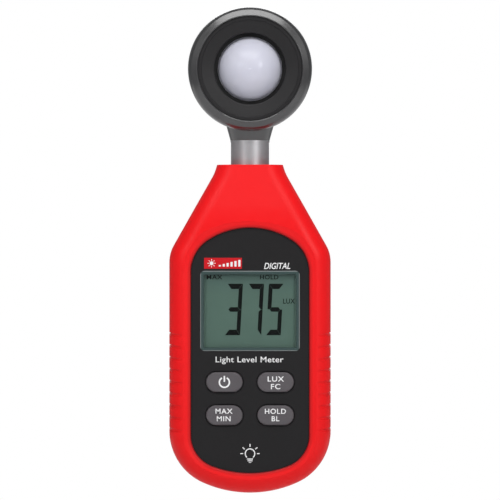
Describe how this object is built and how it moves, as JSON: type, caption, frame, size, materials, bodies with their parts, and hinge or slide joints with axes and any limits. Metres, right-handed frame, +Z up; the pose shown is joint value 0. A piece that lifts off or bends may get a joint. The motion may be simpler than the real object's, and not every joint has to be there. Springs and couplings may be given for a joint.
{
  "type": "handheld light meter",
  "caption": "Handheld light meter with a two-shell case, LCD window, four keys, a sliding battery door and a swivelling round sensor head with a white diffuser dome.",
  "frame": {"origin": "on the swivel axis, at mid-thickness of the case and at the middle of the side grip grooves", "axes": "+Z up along the swivel axis from the case to the sensor head, -Y out of the front with the window and keys, +X to the right seen from the front"},
  "size_m": [0.0518, 0.028, 0.156],
  "materials": {
    "red_shell": "satin",
    "panel_plastic": "satin",
    "key_plastic": "matte",
    "window_clear": "clear",
    "lcd_glass": "satin",
    "backlight": "satin",
    "inner_plastic": "matte",
    "rubber": "matte",
    "board": "satin",
    "chip": "matte",
    "steel": "satin",
    "cell": "gloss",
    "tube_metal": "satin",
    "bush_plastic": "satin",
    "lead_sheath": "matte",
    "head_plastic": "satin",
    "trim_plastic": "satin",
    "diffuser": "satin",
    "filter_glass": "polished",
    "sensor": "gloss"
  },
  "bodies": {
    "meter_body": {"front_shell": "red_shell", "rear_shell": "red_shell", "front_panel": "panel_plastic", "display_window": "window_clear", "lcd_panel": "lcd_glass", "lcd_polarizer": "lcd_glass", "backlight_panel": "backlight", "lcd_holder": "inner_plastic", "sensor_header": "inner_plastic", "sensor_plug": "inner_plastic", "trim_potentiometer": "inner_plastic", "zebra_connector": "rubber", "keypad_mat": "rubber", "main_pcb": "board", "microcontroller": "chip", "op_amp": "chip", "crystal_can": "steel", "capacitors": "steel", "snap_domes": "steel", "case_screws": "steel", "pcb_screws": "steel", "battery_springs": "steel", "battery_link_upper": "steel", "battery_link_lower": "steel", "battery_terminal_plus": "steel", "battery_terminal_minus": "steel", "battery_1": "cell", "battery_2": "cell", "battery_3": "cell", "swivel_bush": "bush_plastic", "sensor_lead_lower": "lead_sheath"},
    "sensor_head": {"swivel_tube": "tube_metal", "stop_collar": "tube_metal", "retaining_clip": "steel", "friction_ring": "rubber", "sensor_lead_upper": "lead_sheath", "head_front_shell": "head_plastic", "head_rear_shell": "head_plastic", "head_screws": "steel", "head_trim_ring": "trim_plastic", "diffuser_dome": "diffuser", "dome_seal": "rubber", "filter_holder": "inner_plastic", "color_filter": "filter_glass", "photodiode": "sensor", "sensor_pcb": "board", "sensor_terminal": "inner_plastic"},
    "key_power_body": {"key_power": "key_plastic"},
    "key_units_body": {"key_units": "key_plastic"},
    "key_max_min_body": {"key_max_min": "key_plastic"},
    "key_hold_body": {"key_hold": "key_plastic"},
    "battery_door_body": {"battery_door": "red_shell"}
  },
  "joints": [
    {"name": "head_swivel", "type": "hinge", "parent": "meter_body", "child": "sensor_head", "pos_m": [0, 0, 0.0768], "axis": [0, 0, 1], "range_deg": [-135, 135]},
    {"name": "key_power_press", "type": "slide", "parent": "meter_body", "child": "key_power_body", "axis": [0, 1, 0], "range_m": [0, 0.0007], "stiffness_N_per_m": 400, "springref_m": -0.001},
    {"name": "key_units_press", "type": "slide", "parent": "meter_body", "child": "key_units_body", "axis": [0, 1, 0], "range_m": [0, 0.0007], "stiffness_N_per_m": 400, "springref_m": -0.001},
    {"name": "key_max_min_press", "type": "slide", "parent": "meter_body", "child": "key_max_min_body", "axis": [0, 1, 0], "range_m": [0, 0.0007], "stiffness_N_per_m": 400, "springref_m": -0.001},
    {"name": "key_hold_press", "type": "slide", "parent": "meter_body", "child": "key_hold_body", "axis": [0, 1, 0], "range_m": [0, 0.0007], "stiffness_N_per_m": 400, "springref_m": -0.001},
    {"name": "battery_door_slide", "type": "slide", "parent": "meter_body", "child": "battery_door_body", "axis": [0, 0, -1], "range_m": [0, 0.05]}
  ]
}
